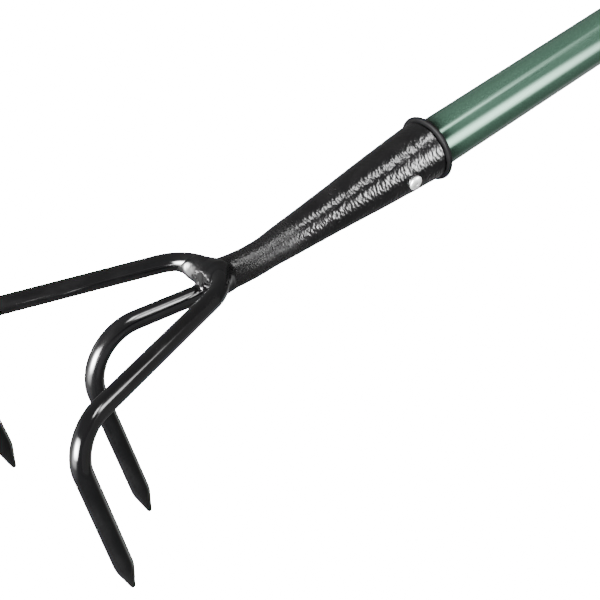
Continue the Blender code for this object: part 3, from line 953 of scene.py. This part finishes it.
def make_end_plug(finish):
    """A rounded nose, flattened to a tab with a hang hole, and a grooved shank."""
    margin = 0.001
    side = BUTT_RADIUS + margin
    low = np.array((GRIP_END - margin, -side, -side))
    x, y, z = np.moveaxis(sampled(low, (PLUG_END + margin, side, side), PLUG_STEP), -1, 0)
    reach = PLUG_END - NOSE_START - NOSE_INSET
    share = np.clip((x - NOSE_START) / reach, 0, 0.9995)
    outline = BUTT_RADIUS * (1 - share**2) ** NOSE_ROUNDNESS
    slope = 2 * NOSE_ROUNDNESS * outline / reach * share / (1 - share**2)
    body = (np.hypot(y, z) - outline) / np.sqrt(1 + slope**2)
    body = carved(body, x - NOSE_START - reach, 0.0006)
    body = carved(body, GRIP_END + GAP - x, 0.0016)
    tab = blended(x - TAB_START, np.abs(z) - TAB_HALF_THICKNESS, 0.0030)
    body = carved(body, tab, 0.0014)
    body = carved(body, HANG_HOLE_RADIUS - np.hypot(x - HANG_HOLE_X, y), 0.0018)
    body -= PARTING_LINE * np.exp(-((z / PARTING_WIDTH) ** 2))
    points, quads = surface_of(body)
    points = (points * PLUG_STEP + low).tolist()
    faces = quads.tolist()

    shank = TUBE_RADIUS - TUBE_WALL - GAP
    core = 0.001
    profile = [(GRIP_END + 0.002, core), (GRIP_END + 0.002, shank)]
    for start in PLUG_RINGS:
        floor = shank - PLUG_GROOVE_DEPTH
        profile += [(start, shank), (start - 0.0010, floor)]
        profile += [(start - 0.0030, floor), (start - 0.0040, shank)]
    profile.append((PLUG_SHANK_START + PLUG_CHAMFER, shank))
    profile += [(PLUG_SHANK_START, shank - PLUG_CHAMFER), (PLUG_SHANK_START, core)]
    more_points, more_faces = skin(turned(eased(profile, 0.0003), 72))
    faces += [tuple(i + len(points) for i in face) for face in more_faces]
    points += more_points
    piece("end_plug", points, faces, finish, "end_plug", slot="plug_black", smooth_angle=50)


# ---------------------------------------------------------------- studio


def direction(azimuth, elevation):
    """A direction in the row's frame from angles in the tool's frame, in degrees."""
    a, e = math.radians(azimuth), math.radians(elevation)
    way = Vector((math.cos(e) * math.cos(a), math.cos(e) * math.sin(a), math.sin(e)))
    return TOOL.to_3x3() @ way


# Each soft box: azimuth and elevation of its middle, half widths sideways and upwards, softness,
# all in degrees, and its brightness
SOFT_BOXES = (
    (-166, 24, 18, 14, 11, 170),  # the main light, behind the tines' tips
    (178, 14, 24, 24, 15, 8),  # its glow on the diffuser
    (155, 2, 52, 40, 25, 0.7),
    (-39, 54, 10, 5, 4.5, 24),  # overhead strip, brightest away from the handle
    (-21, 50, 9, 3, 3, 6),
    (8, -44, 15, 12, 9, 0.6),  # the white paper below, beyond the handle
)
# The dim studio between them: its brightness at two heights of a direction, 1 being straight up
SKY_HEIGHTS = (-0.4, 0.6)
SKY_LIGHT = (0.16, 0.20)

# Each local light: where it is seen from, its azimuth and elevation from there in degrees, its
# distance, size, soft edges (as a share of the size) and power
STRIP_AZIMUTH = -56
SIDE_STRIP = (Vector((0.05, 0, 0)), STRIP_AZIMUTH, 4, 1.8, (1.0, 1.5), (0.35, 0.48), 165.0)
HEAD_LIGHT = (Vector((-0.17, 0, 0.01)), -44, 33, 0.35, (0.20, 0.20), (0.48, 0.48), 2.6)
# The card that flags the strip off the tines: its near edge, length, lowest and highest points
FLAG_EDGE = (-0.058, -0.065)
FLAG_LENGTH = 0.30
FLAG_LOW, FLAG_HIGH = -0.09, 0.06
FLAG_SHINE, FLAG_GREY = 0.22, 0.02

STAGE_SIZE = 12.0  # half the floor's width, and the wall's radius
STAGE_GREY = 0.8
FLOOR_SHINE = 16.0
WALL_SHINE = 20.0


def make_world():
    """Soft boxes as bright soft-edged windows in a dim studio."""
    world = bpy.data.worlds.new("studio")
    bpy.context.scene.world = world
    world.use_nodes = True
    nodes = Nodes(world.node_tree)
    looking = nodes.node("ShaderNodeTexCoord").outputs["Generated"]

    def along(way):
        inputs = {0: looking, 1: way}
        return nodes.node("ShaderNodeVectorMath", inputs, operation="DOT_PRODUCT").outputs["Value"]

    def window(across, ahead, half_width, softness):
        """1 inside a band of directions and 0 outside it."""
        off = nodes.maths("ABSOLUTE", nodes.maths("DIVIDE", along(across), ahead))
        inside = math.radians(half_width) - math.radians(softness)
        outside = math.radians(half_width) + math.radians(softness)
        return nodes.spread(off, inside, outside, 1.0, 0.0)

    light = nodes.spread(along(Vector((0, 0, 1))), *SKY_HEIGHTS, *SKY_LIGHT)
    for azimuth, elevation, wide, high, soft, bright in SOFT_BOXES:
        middle = direction(azimuth, elevation)
        sideways = direction(azimuth + 90, 0)
        upwards = middle.cross(sideways)
        ahead = along(middle)
        shown = nodes.maths(
            "MULTIPLY", window(sideways, ahead, wide, soft), window(upwards, ahead, high, soft)
        )
        shown = nodes.maths("MULTIPLY", shown, nodes.maths("GREATER_THAN", ahead, 0.0))
        light = nodes.maths("ADD", light, nodes.maths("MULTIPLY", shown, bright))
    background = nodes.tree.nodes["Background"]
    nodes.tree.links.new(light, background.inputs["Color"])
    background.inputs["Strength"].default_value = 1.0


def make_light(name, seen_from, azimuth, elevation, distance, sizes, soft_edges, power, lit=None):
    """A soft rectangle of light that faces the tool, dimmer towards its edges.

    Where lit is given, the light falls on those pieces only.
    """
    data = bpy.data.lights.new(name, "AREA")
    data.shape = "RECTANGLE"
    data.size, data.size_y = sizes
    data.energy = power
    data.use_nodes = True
    nodes = Nodes(data.node_tree)
    parametric = nodes.node("ShaderNodeNewGeometry").outputs["Parametric"]
    place = nodes.node("ShaderNodeSeparateXYZ", {0: parametric})
    fades = []
    for axis, edge in zip("XY", soft_edges):
        off = nodes.maths("PINGPONG", place.outputs[axis], 0.5)
        fades.append(nodes.spread(off, 0.0, edge, 0.0, 1.0))
    strength = data.node_tree.nodes["Emission"].inputs["Strength"]
    data.node_tree.links.new(nodes.maths("MULTIPLY", *fades), strength)
    light = bpy.data.objects.new(name, data)
    bpy.context.scene.collection.objects.link(light)
    way = direction(azimuth, elevation)
    across = Vector((0, 0, 1)).cross(way).normalized()
    turn = Matrix((across, way.cross(across), way)).transposed().to_4x4()
    turn.translation = TOOL @ seen_from + way * distance
    light.matrix_world = turn
    light.visible_camera = False
    if lit:
        group = bpy.data.collections.new("lit_by_" + name)
        for obj in lit:
            group.objects.link(obj)
        light.light_linking.receiver_collection = group


def stage_material(name, shine, grey=STAGE_GREY):
    """A matt grey that shines white itself."""
    settings = {"Specular_IOR_Level": 0.0, "Emission_Color": (1, 1, 1, 1)}
    return Finish(name, (grey,) * 3, 1.0, Emission_Strength=shine, **settings).material


def stage_object(name, points, faces, material):
    mesh = bpy.data.meshes.new(name)
    mesh.from_pydata(points, [], faces)
    mesh.materials.append(material)
    obj = bpy.data.objects.new(name, mesh)
    bpy.context.scene.collection.objects.link(obj)
    return obj


def make_flag():
    """A black card that keeps the side strip off the tines."""
    away = math.radians(STRIP_AZIMUTH - 90)
    x, y = FLAG_EDGE
    far = (x + FLAG_LENGTH * math.cos(away), y + FLAG_LENGTH * math.sin(away))
    corners = [(x, y, FLAG_LOW), (*far, FLAG_LOW), (*far, FLAG_HIGH), (x, y, FLAG_HIGH)]
    black = stage_material("black_flag", FLAG_SHINE, FLAG_GREY)
    flag = stage_object("flag", corners, [(0, 1, 2, 3)], black)
    flag.data.transform(TOOL)
    flag.visible_camera = False


def make_stage():
    """A pale floor, and a pale wall all round far behind it."""
    size = STAGE_SIZE
    corners = [(-size, -size, 0), (size, -size, 0), (size, size, 0), (-size, size, 0)]
    pale = stage_material("pale_floor", FLOOR_SHINE)
    floor = stage_object("floor", corners, [(0, 1, 2, 3)], pale)
    angles = np.linspace(0.02, math.pi - 0.02, 24)
    rings = turned([(-size * math.cos(a), size * math.sin(a)) for a in angles], 48)
    wall = stage_object("wall", *skin(rings), stage_material("pale_wall", WALL_SHINE))
    for obj in (floor, wall):
        obj.visible_glossy = False
        obj.visible_diffuse = False
        obj.visible_shadow = False


# The camera's place and directions in the tool's frame, and its lens in millimetres
CAMERA_PLACE = Vector((-0.339104, -0.399601, 0.332184))
CAMERA_LOOK = Vector((0.413926, 0.668946, -0.617395))
CAMERA_RIGHT = Vector((0.752995, -0.632724, -0.180718))
CAMERA_LENS = 74.04


def make_camera():
    data = bpy.data.cameras.new("camera")
    data.lens = CAMERA_LENS
    data.sensor_width = 36
    data.clip_start = 0.01
    data.clip_end = 100
    camera = bpy.data.objects.new("camera", data)
    bpy.context.scene.collection.objects.link(camera)
    back = -CAMERA_LOOK.normalized()
    right = (CAMERA_RIGHT - back * CAMERA_RIGHT.dot(back)).normalized()
    turn = Matrix((right, back.cross(right), back)).transposed().to_4x4()
    turn.translation = CAMERA_PLACE
    camera.matrix_world = TOOL @ turn
    bpy.context.scene.camera = camera


def main():
    paint = gloss_black("gloss_black", "bar", worn_below=WORN_LENGTH)
    tines = [
        make_bar("outer_tines", outer_path(), paint, both_pointed=True),
        make_bar("centre_tine", centre_path(), paint),
    ]
    make_welds(gloss_black("gloss_black_weld", "tool"))
    make_socket(hammered_black())
    make_collar(moulded_plastic("collar_plastic", COLLAR_BLACK, 0.55, 2500, 0.00003, shine=0.06))
    make_tube(metallic_green())
    zinc = bright_metal("rivet_zinc", ZINC, 0.46)
    make_rivet(zinc, bright_metal("mandrel_steel", MANDREL_STEEL, 0.4))
    make_grip(moulded_plastic("grip_rubber", GRIP_BLACK, 0.6, 3200, 0.00008))
    make_end_plug(moulded_plastic("plug_plastic", PLUG_BLACK, 0.42, 2500, 0.00004))
    make_world()
    make_light("side_strip", *SIDE_STRIP)
    make_light("head_light", *HEAD_LIGHT, lit=tines)
    make_flag()
    make_stage()
    make_camera()


main()
